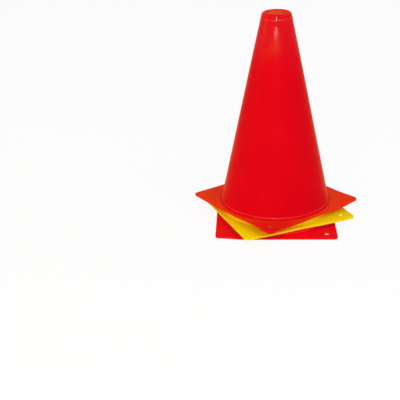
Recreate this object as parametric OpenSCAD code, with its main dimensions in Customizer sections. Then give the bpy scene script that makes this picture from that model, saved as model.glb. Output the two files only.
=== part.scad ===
// Nest of three marker cones, in millimetres. The common axis is Z, +Z is up, and the lowest
// plate stands on Z = 0. Each cone is one thin moulding: a square plate that flows through a
// fillet into a tapered wall, under a collar with an open hole. The collar is thicker than the
// wall inside, and its ledge sits on the rim of the cone below, so that the walls of nested
// cones keep a small clearance and never wedge together.

/* [Base plate] */
// Side of the square plate
plate_w = 140; // [110:1:220]
// Thickness of the plate
plate_t = 2.2; // [1.5:0.1:4]
// Radius of the plate's corners
corner_r = 5; // [2:0.5:9]
// Diameter of the hang hole near one corner
hang_hole_d = 6; // [3:0.5:8]
// Distance from the hang hole's centre to the two edges beside it
hang_hole_inset = 12; // [9:0.5:14]

/* [Tapered wall] */
// Height of one cone, from the plate's underside to the rim
cone_h = 225; // [170:1:320]
// Distance from the middle of the plate's edge to the line where the wall meets the plate
wall_margin = 6.2; // [5:0.1:10]
// Thickness of the wall, square to its surface
wall_t = 1.7; // [1.2:0.1:2.5]
// Radius of the fillet between the plate and the wall
foot_fillet_r = 3; // [1:0.5:5]

/* [Top collar] */
// Diameter of the open hole in the top
hole_d = 27.7; // [20:0.1:36]
// Thickness of the collar at the step line
collar_t = 4; // [3.2:0.1:5]
// Height from the step line to the rim
collar_h = 6.5; // [5:0.1:9]
// Step from the wall in to the collar
step_w = 0.2; // [0.1:0.05:0.5]
// Width of the flat rim around the hole
rim_w = 0.6; // [0.4:0.05:1.2]
// Slope by which the collar's top falls outwards from the rim, in degrees
top_slope = 32; // [10:1:36]
// Radius of the rounded edge between the collar's top and its side
top_edge_r = 0.9; // [0.3:0.1:1.5]

/* [Nesting] */
// Clearance between the walls of nested cones, square to their surface
nest_gap = 0.4; // [0.3:0.02:1]
// Turn of the middle cone against the bottom one, in degrees
middle_turn = 24.5; // [-180:0.5:180]
// Turn of the top cone against the bottom one, in degrees
top_turn = -50; // [-180:0.5:180]

/* [Hidden] */
$fn = 96;
// Length by which every cut runs past the face that it opens
overrun = 1;
// Colours of the two plastics
red_plastic = [0.88, 0.04, 0.07];
yellow_plastic = [0.96, 0.84, 0.02];

// Outer line of the wall: its radius at the plate's upper face and at the step line
wall_foot_r = plate_w / 2 - wall_margin;
hole_r = hole_d / 2;
step_r = hole_r + collar_t;
step_z = cone_h - collar_h;
// Half angle of the taper
taper = atan((wall_foot_r - step_r) / (step_z - plate_t));
// Inner line of the wall: its radius at the underside of the plate
mouth_r = wall_foot_r + plate_t * tan(taper) - wall_t / cos(taper);
// Shoulder: its side leans in on the wall's angle and its top slopes down from the flat rim. The
// arc of the rounded edge keeps its radius from both lines, which sets its centre.
collar_r = step_r - step_w;
rim_r = hole_r + rim_w;
edge_side_r = collar_r - top_edge_r / cos(taper);
edge_top_z = collar_h - top_edge_r / cos(top_slope);
edge_drop = (edge_side_r - rim_r) * tan(top_slope);
edge_z = (edge_top_z - edge_drop) / (1 - tan(taper) * tan(top_slope));
edge_r = edge_side_r - edge_z * tan(taper);
// Height from one cone to the next, which keeps the walls the clearance apart
nest_pitch = (wall_t + nest_gap) / sin(taper);
// Underside of the collar, which sits on the rim of the cone below
ledge_z = cone_h - nest_pitch;
hang_hole_at = plate_w / 2 - hang_hole_inset;

// Solid round taper on the wall's angle. It flares through an arc of radius flare_r until it
// is level at height flare_z, where its straight line would have the radius line_r.
module flared_taper(low_z, flare_z, line_r, flare_r, top_z) {
    flare_run = flare_r * tan((90 - taper) / 2);
    foot_r = line_r + flare_run;
    rotate_extrude()
        difference() {
            polygon([
                [0, low_z],
                [foot_r, low_z],
                [foot_r, flare_z],
                [line_r - flare_run * sin(taper), flare_z + flare_run * cos(taper)],
                [line_r - (top_z - flare_z) * tan(taper), top_z],
                [0, top_z]
            ]);
            translate([foot_r, flare_z + flare_r])
                circle(r = flare_r);
        }
}

// Square plate with round corners, solid across the middle
module plate() {
    corner_at = plate_w / 2 - corner_r;
    straight_w = plate_w - 2 * corner_r;
    linear_extrude(height = plate_t) {
        square([plate_w, straight_w], center = true);
        square([straight_w, plate_w], center = true);
        for (x = [-1, 1], y = [-1, 1])
            translate([x * corner_at, y * corner_at])
                circle(r = corner_r);
    }
}

// Shoulder above the step line, solid across the hole
module shoulder() {
    rotate_extrude()
        translate([0, step_z]) {
            polygon([
                [0, 0],
                [collar_r, 0],
                [edge_r + top_edge_r * cos(taper), edge_z + top_edge_r * sin(taper)],
                [edge_r + top_edge_r * sin(top_slope), edge_z + top_edge_r * cos(top_slope)],
                [rim_r, collar_h],
                [0, collar_h]
            ]);
            translate([edge_r, edge_z])
                circle(r = top_edge_r);
        }
}

// Everything that is open inside one cone: the taper and its rounded mouth, and the top hole
module hollow() {
    flared_taper(-overrun, 0, mouth_r, foot_fillet_r + wall_t, ledge_z);
    translate([0, 0, ledge_z - overrun])
        cylinder(h = nest_pitch + 2 * overrun, r = hole_r);
}

// Hole near one corner, by which a cone is hung or tied down
module hang_hole() {
    translate([hang_hole_at, -hang_hole_at, -overrun])
        cylinder(h = plate_t + 2 * overrun, d = hang_hole_d);
}

// One whole moulding, standing on Z = 0
module cone() {
    difference() {
        union() {
            plate();
            flared_taper(0, plate_t, wall_foot_r, foot_fillet_r, step_z);
            shoulder();
        }
        hollow();
        hang_hole();
    }
}

module bottom_cone() {
    color(red_plastic)
        cone();
}

module middle_cone() {
    color(yellow_plastic)
        translate([0, 0, nest_pitch])
            rotate([0, 0, middle_turn])
                cone();
}

module top_cone() {
    color(red_plastic)
        translate([0, 0, 2 * nest_pitch])
            rotate([0, 0, top_turn])
                cone();
}

bottom_cone();
middle_cone();
top_cone();
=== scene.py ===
import math

import bpy
import numpy as np
from mathutils import Matrix, Vector


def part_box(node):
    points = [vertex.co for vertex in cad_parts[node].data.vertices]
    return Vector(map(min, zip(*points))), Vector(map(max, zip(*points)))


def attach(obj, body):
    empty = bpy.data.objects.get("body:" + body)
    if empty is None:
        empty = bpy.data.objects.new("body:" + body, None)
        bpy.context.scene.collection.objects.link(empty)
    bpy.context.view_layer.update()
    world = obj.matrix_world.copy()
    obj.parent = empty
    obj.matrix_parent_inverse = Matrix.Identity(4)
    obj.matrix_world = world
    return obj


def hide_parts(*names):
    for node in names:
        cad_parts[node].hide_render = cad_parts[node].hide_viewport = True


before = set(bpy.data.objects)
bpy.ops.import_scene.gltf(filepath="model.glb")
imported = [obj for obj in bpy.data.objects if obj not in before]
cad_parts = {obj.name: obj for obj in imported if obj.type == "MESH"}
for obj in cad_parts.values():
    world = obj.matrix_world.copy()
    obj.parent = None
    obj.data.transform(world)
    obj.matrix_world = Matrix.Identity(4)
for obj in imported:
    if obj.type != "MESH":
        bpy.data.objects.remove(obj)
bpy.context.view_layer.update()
print("frame loaded:", ", ".join(sorted(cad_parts)))

mm = 0.001
tolerance = 0.01 * mm

# Shape of one moulding. The nest holds three of them.
moulding = {
    "wallMargin": 6.2 * mm,      # from the middle of the plate's edge to the wall's foot line
    "wallThick": 1.7 * mm,       # square to the wall
    "plateThick": 2.2 * mm,
    "cornerRadius": 5.0 * mm,
    "edgeRounding": 0.45 * mm,   # on both edges of the plate's rim
    "footRounding": 3.0 * mm,    # fillet between the plate and the wall
    "footReach": 3.3 * mm,       # from the wall's foot line out past both fillets
    "holeRadius": 13.85 * mm,    # open top
    "boreRounding": 0.40 * mm,   # on the bore's top edge
    "collarThick": 4.0 * mm,     # at the step line
    "collarHigh": 6.5 * mm,
    "collarDraw": 0.08 * mm,     # the collar's side leans in this much more than the wall
    "stepWide": 0.2 * mm,
    "stepSoft": 0.6 * mm,        # height over which the wall leans in to the collar
    "stepRaised": 0.55 * mm,     # where that lean starts, above the CAD model's sharp step
    "stepTop": 0.25 * mm,        # roundings at the lean's top,
    "stepFoot": 0.35 * mm,       # and at its foot
    "rimWide": 0.6 * mm,
    "rimRounding": 0.25 * mm,    # at the flat rim's outer edge
    "topSlope": 32.0,            # degrees that the collar's top falls outwards
    "topEdge": 0.95 * mm,        # rounding between the collar's top and its side
    "nestGap": 0.4 * mm,         # between the walls of nested cones
    "ledgeRounding": 0.30 * mm,  # where the hollow's wall turns in to the ledge,
    "ledgeEdge": 0.15 * mm,      # and where the ledge turns up into the bore
    "hangRadius": 3.0 * mm,
    "hangInset": 12.0 * mm,      # from the hang hole to both edges beside it
    "hangRounding": 0.25 * mm,
    "sinkDeep": 0.32 * mm,       # the wall draws in a little under the thick collar
    "sinkFull": 6.0 * mm,        # how far below the step line the sink is deepest
    "sinkFades": 13.0 * mm,      # length over which it fades again, further down
    "stiffWithin": 12.0 * mm,    # the plate's bends fade out over this length beside the wall
}

# Rows, columns and steps of the arcs.
meshSteps = {
    "side": 84,                  # columns along each side of the plate
    "corner": 12,                # columns round each corner
    "plate": 15,                 # rows across the plate
    "plateEdge": 5,              # rows round each edge of its rim
    "wall": 56,                  # rows up the wall,
    "collar": 8,                 # the collar's side
    "inside": 24,                # and the hollow
    "boreArc": 6,
    "rimArc": 3,
    "topArc": 8,
    "stepArc": 3,
    "footArc": 10,
    "mouthArc": 12,
    "ledgeArc": 4,
    "hangArc": 4,
    "holeFrom": 4,               # the hang hole's patch: its first plate row, its last one,
    "holeTo": 11,
    "holeBeside": 5,             # and the side columns that it takes beside the corner
    "holeRings": 7,
}

# How rows are spaced, as shares.
spacing = {
    "support": 0.12,             # points beside a rounding, of its radius
    "lastRow": 0.985,            # last row before an edge, of the way to it
    "rimRow": 1.3,               # rows on the plate's rim, of the edge's rounding
    "wallCrowd": 1.8,            # draws the wall's rows together near the collar,
    "ringCrowd": 1.3,            # and the rings near the hang hole
}

low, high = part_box("bottom_cone")
plateWide = high.x - low.x
coneHigh = high.z - low.z
half = plateWide / 2

stepRadius = moulding["holeRadius"] + moulding["collarThick"]
stepHeight = coneHigh - moulding["collarHigh"]
footRadius = half - moulding["wallMargin"]
lean = (footRadius - stepRadius) / (stepHeight - moulding["plateThick"])    # taper's tangent
taper = math.atan(lean)
mouthRadius = (footRadius + moulding["plateThick"] * lean
               - moulding["wallThick"] / math.cos(taper))
nestPitch = (moulding["wallThick"] + moulding["nestGap"]) / math.sin(taper)
ledgeHeight = coneHigh - nestPitch
hangPlace = half - moulding["hangInset"]
plateStart = footRadius + moulding["footReach"]


# Smooth step from 0 at low to 1 at high.
def fade(value, low, high):
    share = np.clip((value - low) / (high - low), 0, 1)
    return share * share * (3 - 2 * share)


# A profile through corner points (radius, height, rounding, steps). Each corner becomes an arc
# that touches both straight lines beside it, with one support point on each line close to the arc.
def roundedLine(corners):
    points = np.array([c[:2] for c in corners], float)
    line = [points[0]]
    for i in range(1, len(corners) - 1):
        rounding, steps = corners[i][2:]
        if not steps:
            line.append(points[i])
            continue
        before = points[i - 1] - points[i]
        after = points[i + 1] - points[i]
        before /= np.linalg.norm(before)
        after /= np.linalg.norm(after)
        opening = math.acos(np.clip(before @ after, -1, 1))
        run = rounding / math.tan(opening / 2)
        middle = before + after
        toCentre = middle / np.linalg.norm(middle) * rounding / math.sin(opening / 2)
        centre = points[i] + toCentre
        first = points[i] + before * run - centre
        last = points[i] + after * run - centre
        turn = math.atan2(first[0] * last[1] - first[1] * last[0], first @ last)
        angle = math.atan2(first[1], first[0]) + np.linspace(0, turn, steps + 1)
        arc = centre + rounding * np.stack([np.cos(angle), np.sin(angle)], 1)
        support = run + spacing["support"] * rounding
        line.append(points[i] + before * support)
        line.extend(arc)
        line.append(points[i] + after * support)
    line.append(points[-1])
    return np.array(line)


# Points along a straight line, its two ends left out, as corners without a rounding. Each point's
# share of the way is raised to the power crowd, which draws the points together near the first end.
def shareLine(first, last, steps, crowd):
    share = np.linspace(0, 1, steps + 1)[1:-1, None] ** crowd
    line = np.array(first) * (1 - share) + np.array(last) * share
    return [(r, z, 0, 0) for r, z in line]


# Distance from the axis to the plate's outline in the direction angle, with the outline moved in by
# inset: the flat side's distance over the cosine, or else where the ray meets the corner's arc.
def squareReach(angle, inset):
    fold = np.abs((angle + math.pi / 4) % (math.pi / 2) - math.pi / 4)
    side = half - inset
    cornerAt = half - moulding["cornerRadius"]
    arc = moulding["cornerRadius"] - inset
    along = cornerAt * (np.cos(fold) + np.sin(fold))
    onArc = along + np.sqrt(np.maximum(along ** 2 - 2 * cornerAt ** 2 + arc ** 2, 0))
    return np.where(np.tan(fold) * side <= cornerAt, side / np.cos(fold), onArc)


# Directions of the grid's columns: even steps of angle across each side, and even steps round
# each corner's arc.
def columnAngles():
    cornerAt = half - moulding["cornerRadius"]
    cornerFrom = math.atan2(cornerAt, half)
    side = np.linspace(-cornerFrom, cornerFrom, meshSteps["side"] + 1)
    arc = np.linspace(0, math.pi / 2, meshSteps["corner"] + 1)[1:-1]
    bend = np.arctan2(cornerAt + moulding["cornerRadius"] * np.sin(arc),
                      cornerAt + moulding["cornerRadius"] * np.cos(arc))
    quarter = np.concatenate([side, bend])
    return np.concatenate([quarter + i * math.pi / 2 for i in range(4)])


# Where the collar's side and its sloping top would meet. The side leans in by the wall's taper, the
# top falls outwards from the flat rim, and the height solves both lines.
def collarCorner():
    m = moulding
    inward = stepRadius - m["stepWide"] - m["holeRadius"] - m["rimWide"]
    slope = math.tan(math.radians(m["topSlope"]))
    up = (m["collarHigh"] - inward * slope) / (1 - lean * slope)
    return stepRadius - m["stepWide"] - m["collarDraw"] - up * lean, stepHeight + up


# Rows that are plain circles: from the middle of the bore up over the rim, down the wall and out to
# the plate, and then from the plate's underside in and up to the ledge. The sink is its depth times
# a rise below the step line, and times a decay further down.
def wallProfile():
    m, s = moulding, meshSteps
    thick = m["plateThick"]
    hole = m["holeRadius"]
    midBore = (ledgeHeight + coneHigh) / 2
    leanFrom = stepHeight + m["stepRaised"]
    leanTo = leanFrom + m["stepSoft"]
    upper = (stepRadius - m["stepRaised"] * lean, leanFrom)
    foot = (stepRadius - m["stepWide"] - (leanTo - stepHeight) * lean, leanTo)
    outside = roundedLine([
        (hole, midBore, 0, 0),
        (hole, coneHigh, m["boreRounding"], s["boreArc"]),
        (hole + m["rimWide"], coneHigh, m["rimRounding"], s["rimArc"]),
        (*collarCorner(), m["topEdge"], s["topArc"]),
        *shareLine(collarCorner(), foot, s["collar"], 1.0),
        (*foot, m["stepTop"], s["stepArc"]),
        (*upper, m["stepFoot"], s["stepArc"]),
        # one row fewer, because the fillet's own rows take over there
        *shareLine(upper, (footRadius, thick), s["wall"], spacing["wallCrowd"])[:-1],
        (footRadius, thick, m["footRounding"], s["footArc"]),
        (plateStart, thick, 0, 0),
    ])
    ledge = mouthRadius - ledgeHeight * lean
    inside = roundedLine([
        (plateStart, 0, 0, 0),
        (mouthRadius, 0, m["footRounding"] + m["wallThick"], s["mouthArc"]),
        *shareLine((mouthRadius, 0), (ledge, ledgeHeight), s["inside"], 1.0),
        (ledge, ledgeHeight, m["ledgeRounding"], s["ledgeArc"]),
        (hole, ledgeHeight, m["ledgeEdge"], s["ledgeArc"]),
        (hole, midBore, 0, 0),
    ])[:-1]    # the middle of the bore is a row already
    below = stepHeight - outside[:, 1]
    past = np.maximum(below - m["sinkFull"], 0) / m["sinkFades"]
    outside[:, 0] -= m["sinkDeep"] * fade(below, 0, m["sinkFull"]) * np.exp(-past)
    return outside, inside


# Rows of the plate between the two foot circles. Each row is (share, inset, height): share 0 is the
# circle at the foot, and 1 is the outline moved in by inset. The rim is two quarter arcs.
def plateRows():
    e = moulding["edgeRounding"]
    thick = moulding["plateThick"]
    count = meshSteps["plateEdge"]
    share = np.linspace(0, 1, meshSteps["plate"] + 1)[1:]
    share = np.append(share[:-1], [spacing["lastRow"], 1.0])
    arc = np.linspace(0, math.pi / 2, count + 1)[1:]
    top = np.stack([share, np.full_like(share, e), np.full_like(share, thick)], 1)
    over = np.stack([np.ones(count), e - e * np.sin(arc), thick - e + e * np.cos(arc)], 1)
    under = np.stack([np.ones(count), e - e * np.cos(arc), e - e * np.sin(arc)], 1)
    fromEdge = spacing["rimRow"] * e
    upright = np.array([[1, 0, thick - fromEdge], [1, 0, fromEdge], [1, 0, e]])
    bottom = top[:-1][::-1] * (1, 1, 0)
    return np.concatenate([top, over, upright, under, bottom])


# The soft plate's own bends: a sum of round bumps, each its rise times a bell curve of the distance
# from its place, faded to nothing at the wall's foot.
def bendPlate(points, bends):
    radius = np.hypot(points[:, 0], points[:, 1])
    free = fade(radius, plateStart, plateStart + moulding["stiffWithin"])
    for x, y, rise, spread in bends:
        away = (points[:, 0] - x * mm) ** 2 + (points[:, 1] - y * mm) ** 2
        points[:, 2] += rise * mm * np.exp(-away / (2 * (spread * mm) ** 2)) * free
    return points


# The cone as a closed grid of rows and columns: circles for bore, wall and hollow, and for the
# plate a blend from the foot circle to the rounded square.
def conePoints():
    outside, inside = wallProfile()
    rows = plateRows()
    angle = columnAngles()[None, :]
    reach = np.stack([squareReach(angle[0], inset) for inset in rows[:, 1]])
    plate = plateStart + rows[:, :1] * (reach - plateStart)
    ones = np.ones_like(angle)
    radius = np.concatenate([outside[:, :1] * ones, plate, inside[:, :1] * ones])
    height = np.concatenate([outside[:, 1:] * ones, rows[:, 2:] * ones, inside[:, 1:] * ones])
    points = np.stack([radius * np.cos(angle), radius * np.sin(angle), height], -1)
    return points, len(outside), len(rows)


# The places (row, column) round the border of a patch of the grid, in order.
def patchBorder(rows, columns):
    a = [(rows[0], c) for c in columns[:-1]]
    b = [(r, columns[-1]) for r in rows[:-1]]
    c = [(rows[-1], c) for c in columns[:0:-1]]
    d = [(r, columns[0]) for r in rows[:0:-1]]
    return np.array(a + b + c + d)


# Rings from a border on the plate's face at height level to the hang hole, and round the hole's
# edge. Each point slides from its border point straight towards the hole's axis, and then follows a
# quarter arc into the hole: down for sign -1, and up for sign 1.
def hangHoleRings(border, level, sign):
    m = moulding
    centre = np.array([hangPlace, -hangPlace])
    start = border - centre
    way = start / np.linalg.norm(start, axis=1)[:, None]
    stop = way * (m["hangRadius"] + m["hangRounding"])
    share = 1 - (1 - np.linspace(0, 1, meshSteps["holeRings"] + 1)[1:]) ** spacing["ringCrowd"]
    share = np.append(share[:-1], [spacing["lastRow"], 1.0])
    rings = [(centre + start * (1 - s) + stop * s, level) for s in share]
    for angle in np.linspace(0, math.pi / 2, meshSteps["hangArc"] + 1)[1:]:
        radius = m["hangRadius"] + m["hangRounding"] * (1 - math.sin(angle))
        height = level + sign * m["hangRounding"] * (1 - math.cos(angle))
        rings.append((centre + way * radius, height))
    return [np.column_stack([flat, np.full(len(flat), height)]) for flat, height in rings]


# The hang hole's patch on both faces of the plate, joined by the hole's wall: its points, its table
# of vertex numbers with the borders' own, and the faces of the grid that it takes the place of.
def hangHolePatch(points, topStart, rowCount, firstVertex):
    count = points.shape[1]
    cornerFrom = count - meshSteps["corner"]    # first column of the last corner
    left = (cornerFrom - meshSteps["holeBeside"]) % count
    right = (cornerFrom + meshSteps["corner"] + meshSteps["holeBeside"]) % count
    columns = (left + np.arange((right - left) % count + 1)) % count
    taken = np.arange(meshSteps["holeFrom"], meshSteps["holeTo"] + 1)
    topRows = topStart + taken
    underRows = topStart + rowCount - 1 - taken
    topEdge, underEdge = patchBorder(topRows, columns), patchBorder(underRows, columns)
    topBorder = points[topEdge[:, 0], topEdge[:, 1], :2]
    underBorder = points[underEdge[:, 0], underEdge[:, 1], :2]
    patch = np.stack(hangHoleRings(topBorder, moulding["plateThick"], -1)
                     + hangHoleRings(underBorder, 0.0, 1)[::-1])
    ids = firstVertex + np.arange(patch.shape[0] * patch.shape[1]).reshape(patch.shape[:2])
    ids = np.concatenate([(topEdge[:, 0] * count + topEdge[:, 1])[None], ids,
                          (underEdge[:, 0] * count + underEdge[:, 1])[None]])
    cut = np.zeros(points.shape[:2], bool)
    cut[np.ix_(topRows[:-1], columns[:-1])] = True
    cut[np.ix_(underRows[1:], columns[:-1])] = True
    return patch, ids, cut


# Four-cornered faces between neighbouring rows and columns of a table of vertex numbers. Columns
# always close on themselves, and rows do where closed says so.
def gridFaces(ids, closed):
    following = np.roll(ids, -1, 0) if closed else ids[1:]
    current = ids if closed else ids[:-1]
    return np.stack([current, following, np.roll(following, -1, 1), np.roll(current, -1, 1)], -1)


# Distance to the nearest edge that gets knocked: the plate's outline, the hang hole or the rim.
def edgeDistance(own):
    beyond = np.abs(own[:, :2]) - (half - moulding["cornerRadius"])
    outer = np.linalg.norm(np.maximum(beyond, 0), axis=1) + np.minimum(beyond.max(1), 0)
    outline = np.abs(outer - moulding["cornerRadius"])
    fromHole = np.hypot(own[:, 0] - hangPlace, own[:, 1] + hangPlace)
    hole = np.abs(fromHole - moulding["hangRadius"])
    onPlate = own[:, 2] < moulding["plateThick"] + tolerance
    radius = np.hypot(own[:, 0], own[:, 1])
    rimRadius = moulding["holeRadius"] + moulding["rimWide"]
    rim = np.hypot(radius - rimRadius, own[:, 2] - coneHigh)
    return np.where(onPlate, np.minimum(outline, hole), rim)


redPlastic = {
    "colour": (0.690, 0.0010, 0.0075),
    "deep": (0.650, 0.0004, 0.0065),        # in the slow patches of the pigment
    "plateLit": (0.820, 0.0305, 0.0030),    # painted light: lighter and more orange where a plate lies level, for the extra light it catches
    "paintedFill": (0.920, 0.0006, 0.0110),       # painted light: lighter, to lift the shade under the plates above
    "boreLit": (0.900, 0.1450, 0.0450),      # painted light: an orange glow in the bore, for light bounced up from the collar below
    "edgeTone": (0.620, 0.0400, 0.0060),        # darker along knocked edges
    "through": (1.0, 0.16, 0.10),           # how far each colour of light goes into the plastic
    "sheen": (1.0, 0.43, 0.0),
}

yellowPlastic = {
    "colour": (0.930, 0.680, 0.0030),
    "deep": (0.910, 0.640, 0.0020),
    # painted light: lighter where the plate lies level
    "plateLit": (0.940, 0.700, 0.0030),
    # painted light: lighter under the plates above
    "paintedFill": (0.940, 0.700, 0.0030),
    # painted light: glow in the bore
    "boreLit": (0.940, 0.690, 0.0300),
    # partly painted light: orange along the knocked edges, for red light bounced onto the rim
    "edgeTone": (0.940, 0.520, 0.0300),
    "through": (1.0, 0.80, 0.10),
    "sheen": (1.0, 0.70, 0.0),
}

finish = {
    "roughness": 0.42,
    "roughnessPlay": 0.10,
    "shine": 0.01,                # specular level, which is low for a soft plastic
    "coat": 0.010,
    "topCoat": 0.130,             # more gloss near the top, out of the way of feet,
    "boreCoat": 0.30,             # in the bore, which poles have polished,
    "footCoat": 0.65,             # in the fillet at the foot, where nothing rubs,
    "stepCoat": 0.40,             # and along the step line
    "coatRoughness": 0.08,
    "sheen": 0.45,                # fine scratches that catch the light at a slant
    "sheenRoughness": 0.28,
    "glowShare": 0.7,             # light that goes into the thin plastic and comes out again
    "glowDepth": 2.5 * mm,
    "peelBump": 0.004 * mm,       # fine skin of the moulding
    "flowBump": 0.015 * mm,       # marks that run down the wall
    "scuffRoughness": 0.08,       # roughness that a scuff adds,
    "wearRoughness": 0.15,        # and a knocked edge
    "wearReach": 0.9 * mm,
    "wearShare": 0.7,             # how far a knocked edge takes the edge tone
}

# Where each finish lies on a cone.
zones = {
    "plateBlend": 0.9 * mm,       # width over which the wall's finish turns into the plate's
    "boreFrom": 0.1 * mm,         # the bore's finish fades between these distances past its radius
    "boreTo": 0.6 * mm,
    "boreLitDepth": 6.0 * mm,         # how far down the bore's painted glow reaches its full strength,
    "boreLitAtRim": 0.3,              # and its share at the rim
    "paintedFillBelow": 12.0 * mm,      # height of what another plate covers, where the foot is painted lighter against its shade
    "holeCornerDimAngle": 30.0,          # degrees to both sides of the hang hole where the plate's painted light is weaker
    "topCoatFrom": 0.70,          # shares of the cone's height
    "topCoatFull": 0.92,
    "footLine": 1.65 * mm,        # middle of the fillet's glossy band, above the plate,
    "footBand": 0.70 * mm,        # and its reach to both sides
}

# Noise of each kind of mark. The range holds the noise values at which a mark begins and is full.
marks = {
    "patches": {"scale": 22.0, "detail": 2.0, "rough": 0.5, "range": (0.35, 0.75)},
    "flow": {"scale": 1.0, "detail": 3.0, "rough": 0.55, "range": (0.3, 0.7),
             "stretch": (9.0, 9.0, 1.6)},
    "skin": {"scale": 900.0, "detail": 2.0, "rough": 0.5},
    "scuffs": {"scale": 1.0, "detail": 6.0, "rough": 0.65, "range": (0.58, 0.72),
               "stretch": (60.0, 190.0, 60.0)},
    "nicks": {"scale": 210.0, "detail": 4.0, "rough": 0.6, "range": (0.42, 0.62)},
}


# Adds one value for each vertex to the mesh, under a name that the material reads.
def writeAttribute(mesh, name, values, kind="FLOAT", field="value"):
    layer = mesh.attributes.new(name, kind, "POINT")
    layer.data.foreach_set(field, np.ascontiguousarray(values, np.float32).ravel())


# The finish of each point as values from 0 to 1, some of them shares of painted light. The gloss is
# the plain coat and the share of each zone's own coat: near the top, in the bore, in the fillet at
# the foot and along the step line.
def writeFinish(mesh, flat, place):
    radius, height = np.hypot(flat[:, 0], flat[:, 1]), flat[:, 2]
    angle = np.arctan2(flat[:, 1], flat[:, 0])
    around = np.stack([np.cos(angle), np.sin(angle), height / coneHigh], 1)
    level = fade(radius, plateStart - zones["plateBlend"], plateStart)
    hole = moulding["holeRadius"]
    inBore = 1 - fade(radius, hole + zones["boreFrom"], hole + zones["boreTo"])
    # the bore's painted glow: weaker at the rim, full further down
    boreLit = fade(coneHigh - height, 0, zones["boreLitDepth"])
    inBore *= zones["boreLitAtRim"] + (1 - zones["boreLitAtRim"]) * boreLit
    # the plate's painted light is weaker near the hang hole's corner
    fromHole = (angle + 5 * math.pi / 4) % (2 * math.pi) - math.pi    # turn past the hang hole
    holeCornerDim = place["holeCornerDim"] * np.exp(-(fromHole / math.radians(zones["holeCornerDimAngle"])) ** 2)
    fromLine = np.abs(height - moulding["plateThick"] - zones["footLine"])
    inFillet = (1 - level) * (1 - fade(fromLine, 0, zones["footBand"]))
    soft = moulding["stepSoft"]
    fromStep = np.abs(height - stepHeight - moulding["stepRaised"] - soft / 2)
    atStep = 1 - fade(fromStep, soft / 2, soft)
    atTop = fade(height / coneHigh, zones["topCoatFrom"], zones["topCoatFull"])
    gloss = (finish["coat"] + finish["topCoat"] * atTop + finish["boreCoat"] * inBore
             + finish["footCoat"] * inFillet + finish["stepCoat"] * atStep)
    writeAttribute(mesh, "aroundAxis", around, "FLOAT_VECTOR", "vector")
    writeAttribute(mesh, "edgeGap", edgeDistance(flat))
    # painted light on the level plate
    writeAttribute(mesh, "paintedPlateLight", level * place["paintedPlateLight"] * (1 - holeCornerDim))
    # painted light: lighter low down, against the shade of the plates above
    writeAttribute(mesh, "paintedFill", (height < zones["paintedFillBelow"]) * place["paintedFill"])
    # painted light in the bore
    writeAttribute(mesh, "paintedBoreLight", inBore)
    writeAttribute(mesh, "gloss", gloss)


# One whole moulding in its place: the grid, the hang hole's patch and the plate's bends, and then
# the turn about the axis and the lift.
def buildCone(name, place):
    points, topStart, rowCount = conePoints()
    gridSize = points.shape[0] * points.shape[1]
    patch, ids, cut = hangHolePatch(points, topStart, rowCount, gridSize)
    main = np.arange(gridSize).reshape(points.shape[:2])
    faces = np.concatenate([gridFaces(main, True)[~cut], gridFaces(ids, False).reshape(-1, 4)])
    kept, number = np.unique(faces, return_inverse=True)    # drops the points inside the cut patch
    flat = np.concatenate([points.reshape(-1, 3), patch.reshape(-1, 3)])[kept]
    turn = math.radians(place["turn"])
    cosine, sine = math.cos(turn), math.sin(turn)
    spin = np.array([[cosine, sine, 0], [-sine, cosine, 0], [0, 0, 1]])
    world = bendPlate(flat.copy(), place["bends"]) @ spin + (0, 0, place["lift"])
    mesh = bpy.data.meshes.new(name)
    mesh.from_pydata(world.tolist(), [], number.reshape(-1, 4).tolist())
    mesh.polygons.foreach_set("use_smooth", np.ones(len(mesh.polygons), bool))
    writeFinish(mesh, flat, place)
    mesh.update()
    piece = bpy.data.objects.new(name, mesh)
    bpy.context.scene.collection.objects.link(piece)
    return piece


# One node of a material or of the world. An input is either another node's output or a value.
def addNode(tree, kind, inputs=None, **settings):
    node = tree.nodes.new(kind)
    for key, value in settings.items():
        setattr(node, key, value)
    for key, value in (inputs or {}).items():
        if isinstance(value, bpy.types.NodeSocket):
            tree.links.new(value, node.inputs[key])
        else:
            node.inputs[key].default_value = value
    return node


# An empty node tree with its output, for a material or the world.
def emptyTree(owner, outputKind):
    owner.use_nodes = True
    tree = owner.node_tree
    tree.nodes.clear()
    return tree, addNode(tree, outputKind)


# Noise of one kind of mark, over places that may be stretched along each axis first.
def noise(tree, vector, mark):
    if "stretch" in mark:
        scaled = {"Vector": vector, "Scale": mark["stretch"]}
        vector = addNode(tree, "ShaderNodeMapping", scaled).outputs["Vector"]
    inputs = {"Vector": vector, "Scale": mark["scale"], "Detail": mark["detail"],
              "Roughness": mark["rough"]}
    return addNode(tree, "ShaderNodeTexNoise", inputs).outputs["Fac"]


# The range from fromLow to fromHigh, laid evenly over toLow to toHigh and held at both ends.
def remap(tree, value, fromLow, fromHigh, toLow=0.0, toHigh=1.0):
    inputs = {"Value": value, "From Min": fromLow, "From Max": fromHigh,
              "To Min": toLow, "To Max": toHigh}
    return addNode(tree, "ShaderNodeMapRange", inputs).outputs["Result"]


# Where one kind of mark lies: 0 outside it, and 1 where it is full.
def spots(tree, vector, mark):
    return remap(tree, noise(tree, vector, mark), *mark["range"])


# Two values added or multiplied, or the larger one of the two.
def combine(tree, operation, a, b):
    return addNode(tree, "ShaderNodeMath", {0: a, 1: b}, operation=operation).outputs[0]


# Colour a where share is 0, and b where it is 1.
def mixColour(tree, share, a, b):
    inputs = {"Factor": share, "A": a, "B": b}
    return addNode(tree, "ShaderNodeMix", inputs, data_type="RGBA").outputs["Result"]


# A value that writeFinish left on the mesh.
def attribute(tree, name, output="Fac"):
    return addNode(tree, "ShaderNodeAttribute", attribute_name=name).outputs[output]


# A colour as a socket takes it.
def colour(rgb):
    return (*rgb, 1.0)
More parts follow.
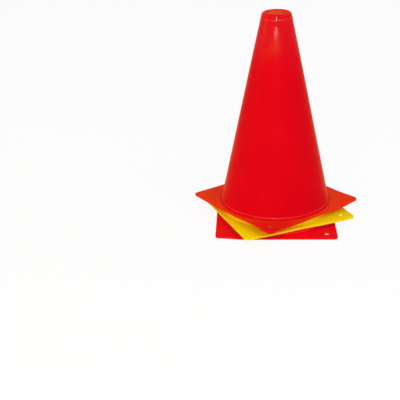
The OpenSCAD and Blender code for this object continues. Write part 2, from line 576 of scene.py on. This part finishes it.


# Glossy soft plastic: slow patches in the pigment, flow marks down the wall, a fine skin, a tone
# along knocked edges, and fine scratches that catch the light at a slant. Painted light lies in its
# colour too: a lighter, more orange level plate, a lighter foot under the plates above, and an
# orange glow in the bore; on yellow the edge tone is partly painted red bounce light.
def conePlastic(name, look):
    material = bpy.data.materials.new(name)
    tree, output = emptyTree(material, "ShaderNodeOutputMaterial")
    place = addNode(tree, "ShaderNodeTexCoord").outputs["Object"]
    around = attribute(tree, "aroundAxis", "Vector")
    patches = spots(tree, place, marks["patches"])
    scuffs = spots(tree, place, marks["scuffs"])
    nicks = spots(tree, place, marks["nicks"])
    flow = noise(tree, around, marks["flow"])
    skin = noise(tree, place, marks["skin"])
    near = remap(tree, attribute(tree, "edgeGap"), 0.0, finish["wearReach"], 1.0, 0.0)
    wear = combine(tree, "MULTIPLY", near, nicks)

    body = mixColour(tree, patches, colour(look["colour"]), colour(look["deep"]))
    # painted light: lit colours for the level plate, the shaded foot and the bore
    for change, shade in (("paintedPlateLight", "plateLit"), ("paintedFill", "paintedFill"), ("paintedBoreLight", "boreLit")):
        body = mixColour(tree, attribute(tree, change), body, colour(look[shade]))
    # the edge tone at knocked edges: darker on red, and on yellow an orange that is partly painted
    # red bounce light
    edgeTone = combine(tree, "MULTIPLY", wear, finish["wearShare"])
    body = mixColour(tree, edgeTone, body, colour(look["edgeTone"]))

    play = finish["roughnessPlay"] / 2
    rough = remap(tree, flow, *marks["flow"]["range"], finish["roughness"] - play,
                  finish["roughness"] + play)
    for mark, added in ((scuffs, finish["scuffRoughness"]), (wear, finish["wearRoughness"])):
        rough = combine(tree, "ADD", rough, combine(tree, "MULTIPLY", mark, added))

    fine = addNode(tree, "ShaderNodeBump", {
        "Height": skin, "Distance": finish["peelBump"], "Strength": 1.0})
    bump = addNode(tree, "ShaderNodeBump", {
        "Height": flow, "Distance": finish["flowBump"], "Strength": 1.0,
        "Normal": fine.outputs["Normal"]})
    shader = addNode(tree, "ShaderNodeBsdfPrincipled", {
        "Base Color": body,
        "Roughness": rough,
        "Normal": bump.outputs["Normal"],
        "Specular IOR Level": finish["shine"],
        "Subsurface Weight": finish["glowShare"],
        "Subsurface Scale": finish["glowDepth"],
        "Subsurface Radius": look["through"],
        "Coat Weight": attribute(tree, "gloss"),
        "Coat Roughness": finish["coatRoughness"],
        "Sheen Weight": finish["sheen"],
        "Sheen Roughness": finish["sheenRoughness"],
        "Sheen Tint": colour(look["sheen"]),
    })
    tree.links.new(shader.outputs["BSDF"], output.inputs["Surface"])
    return material


# The three cones. A turn is in degrees about the axis. The next three values are shares of painted
# light: how much lighter the level plate is painted, how much weaker that is at its hang hole's
# corner, and how much the foot is painted lighter where the plates above shade it. A bend is (x, y,
# rise, spread) in the plate's own frame, in millimetres.
cones = {
    "bottomCone": {
        "node": "bottom_cone", "body": "bottom", "slot": "red_plastic", "turn": 0.0,
        "paintedPlateLight": 0.0, "holeCornerDim": 0.0, "paintedFill": 1.0,
        "bends": [(-66, -66, 1.8, 13)],
    },
    "middleCone": {
        "node": "middle_cone", "body": "middle", "slot": "yellow_plastic", "turn": 24.5,
        "paintedPlateLight": 1.0, "holeCornerDim": 0.0, "paintedFill": 0.0,
        "bends": [(10, -70, -0.7, 40)],
    },
    "topCone": {
        "node": "top_cone", "body": "top", "slot": "red_plastic", "turn": -50.0,
        "paintedPlateLight": 1.0, "holeCornerDim": 0.85, "paintedFill": 0.0,
        "bends": [(-66, -66, 1.3, 18), (30, -70, 1.5, 24), (66, 66, 1.7, 14),
                  (70, 36, -1.6, 16)],
    },
}

plastics = {
    "red_plastic": conePlastic("redPlastic", redPlastic),
    "yellow_plastic": conePlastic("yellowPlastic", yellowPlastic),
}
print("plastics made:", ", ".join(plastics))

for name, place in cones.items():
    place["lift"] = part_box(place["node"])[0].z
    piece = buildCone(name, place)
    piece.data.materials.append(plastics[place["slot"]])
    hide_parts(place["node"])
    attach(piece, place["body"])
    lift = round(place["lift"] / mm, 2)
    print(name, "built:", len(piece.data.polygons), "faces, lifted", lift, "mm")


studio = {
    "white": 1.0,              # what the camera sees behind the object
    "ambient": 0.53,           # light that the surroundings give
    "floorColour": 0.74,
    "floorGlow": 0.90,         # share of the floor that is plain white to the eye
    "floorReach": 6.0,
    "floorLevel": -0.05 * mm,
}


# 1 for rays that see the background, straight, in a gloss or through glass, and 0 for light.
def eyeRays(tree):
    path = addNode(tree, "ShaderNodeLightPath")
    seen = combine(tree, "MAXIMUM", path.outputs["Is Camera Ray"], path.outputs["Is Glossy Ray"])
    return combine(tree, "MAXIMUM", seen, path.outputs["Is Transmission Ray"])


# The world: plain white to the eye, and an even, weaker light for the object.
def buildSurroundings():
    world = bpy.data.worlds.new("studioWorld")
    bpy.context.scene.world = world
    tree, output = emptyTree(world, "ShaderNodeOutputWorld")
    strength = remap(tree, eyeRays(tree), 0.0, 1.0, studio["ambient"], studio["white"])
    background = addNode(tree, "ShaderNodeBackground", {
        "Color": (1, 1, 1, 1), "Strength": strength})
    tree.links.new(background.outputs["Background"], output.inputs["Surface"])


# A wide plain floor. To the eye it is part plain white and part shaded, so the shadow still shows.
def buildFloor():
    reach, level = studio["floorReach"], studio["floorLevel"]
    mesh = bpy.data.meshes.new("studioFloor")
    corners = [(x * reach, y * reach, level) for x, y in ((-1, -1), (1, -1), (1, 1), (-1, 1))]
    mesh.from_pydata(corners, [], [(0, 1, 2, 3)])
    floor = bpy.data.objects.new("studioFloor", mesh)
    bpy.context.scene.collection.objects.link(floor)
    material = bpy.data.materials.new("paleFloor")
    tree, output = emptyTree(material, "ShaderNodeOutputMaterial")
    tone = studio["floorColour"]
    seen = 1 - studio["floorGlow"]
    plain = addNode(tree, "ShaderNodeBsdfDiffuse", {"Color": (tone, tone, tone, 1)})
    shaded = addNode(tree, "ShaderNodeBsdfDiffuse", {"Color": (seen, seen, seen, 1)})
    glow = addNode(tree, "ShaderNodeEmission", {
        "Color": (1, 1, 1, 1), "Strength": studio["floorGlow"]})
    both = addNode(tree, "ShaderNodeAddShader", {0: shaded.outputs[0], 1: glow.outputs[0]})
    chosen = addNode(tree, "ShaderNodeMixShader", {
        "Fac": eyeRays(tree), 1: plain.outputs[0], 2: both.outputs[0]})
    tree.links.new(chosen.outputs[0], output.inputs["Surface"])
    mesh.materials.append(material)


# Rectangular lamps, each facing its aim. Radiance is the brightness of a lamp's face, with white
# at 1.
lamps = {
    "keyLamp": {          # small and bright, for the highlight under the collar
        "place": (-0.020, -1.15, 0.511), "aim": (0.0, 0.0, 0.20),
        "wide": 0.18, "high": 0.070, "radiance": 62.0, "colour": (1.0, 1.0, 1.0),
    },
    "keyWing": {          # a thin strip below it
        "place": (-0.080, -1.15, 0.465), "aim": (0.0, 0.0, 0.20),
        "wide": 0.50, "high": 0.020, "radiance": 22.0, "colour": (1.0, 1.0, 1.0),
    },
    "lowBand": {          # a long warm band in front
        "place": (-0.45, -1.20, 0.43), "aim": (-0.45, 0.0, 0.22),
        "wide": 2.20, "high": 0.05, "radiance": 5.6, "colour": (1.0, 0.75, 0.02),
    },
    "frontSoftbox": {     # the main light, from above the eye
        "place": (0.45, -1.4, 1.5), "aim": (0.0, 0.0, 0.05),
        "wide": 3.4, "high": 0.6, "radiance": 2.8, "colour": (1.0, 1.0, 1.0),
    },
    "leftSoftbox": {      # warm light along the left side
        "place": (-1.2, -0.25, 0.22), "aim": (0.0, 0.0, 0.10),
        "wide": 0.8, "high": 0.36, "radiance": 3.0, "colour": (1.0, 0.6, 0.05),
    },
}


# Power is radiance times area times pi.
def buildLamp(name, lamp):
    light = bpy.data.lights.new(name, "AREA")
    light.shape = "RECTANGLE"
    light.size, light.size_y = lamp["wide"], lamp["high"]
    light.color = lamp["colour"]
    light.energy = lamp["radiance"] * lamp["wide"] * lamp["high"] * math.pi
    holder = bpy.data.objects.new(name, light)
    bpy.context.scene.collection.objects.link(holder)
    place = Vector(lamp["place"])
    holder.location = place
    holder.rotation_euler = (Vector(lamp["aim"]) - place).to_track_quat("-Z", "Y").to_euler()


eye = {
    "place": (-0.032034, -0.938833, 0.446458),
    "heading": -3.559,         # degrees from +Y towards +X
    "down": 24.463,
    "roll": -1.723,
    "lens": 76.657,            # millimetres, as is the sensor's width
    "sensor": 36.0,
}


# The camera's axes: forward from heading and tilt, and right and up turned by the roll.
def buildCamera():
    heading, down, roll = (math.radians(eye[k]) for k in ("heading", "down", "roll"))
    level = math.cos(down)
    forward = Vector((math.sin(heading) * level, math.cos(heading) * level, -math.sin(down)))
    right = forward.cross(Vector((0, 0, 1))).normalized()
    up = right.cross(forward)
    turnedRight = right * math.cos(roll) + up * math.sin(roll)
    turnedUp = up * math.cos(roll) - right * math.sin(roll)
    data = bpy.data.cameras.new("photoCamera")
    data.lens = eye["lens"]
    data.sensor_width = eye["sensor"]
    camera = bpy.data.objects.new("photoCamera", data)
    bpy.context.scene.collection.objects.link(camera)
    axes = Matrix((turnedRight, turnedUp, -forward)).transposed()
    camera.matrix_world = Matrix.Translation(eye["place"]) @ axes.to_4x4()
    bpy.context.scene.camera = camera


buildSurroundings()
buildFloor()
for name, lamp in lamps.items():
    buildLamp(name, lamp)
buildCamera()
bpy.context.scene.view_settings.view_transform = "Standard"
print("floor, light and camera set")
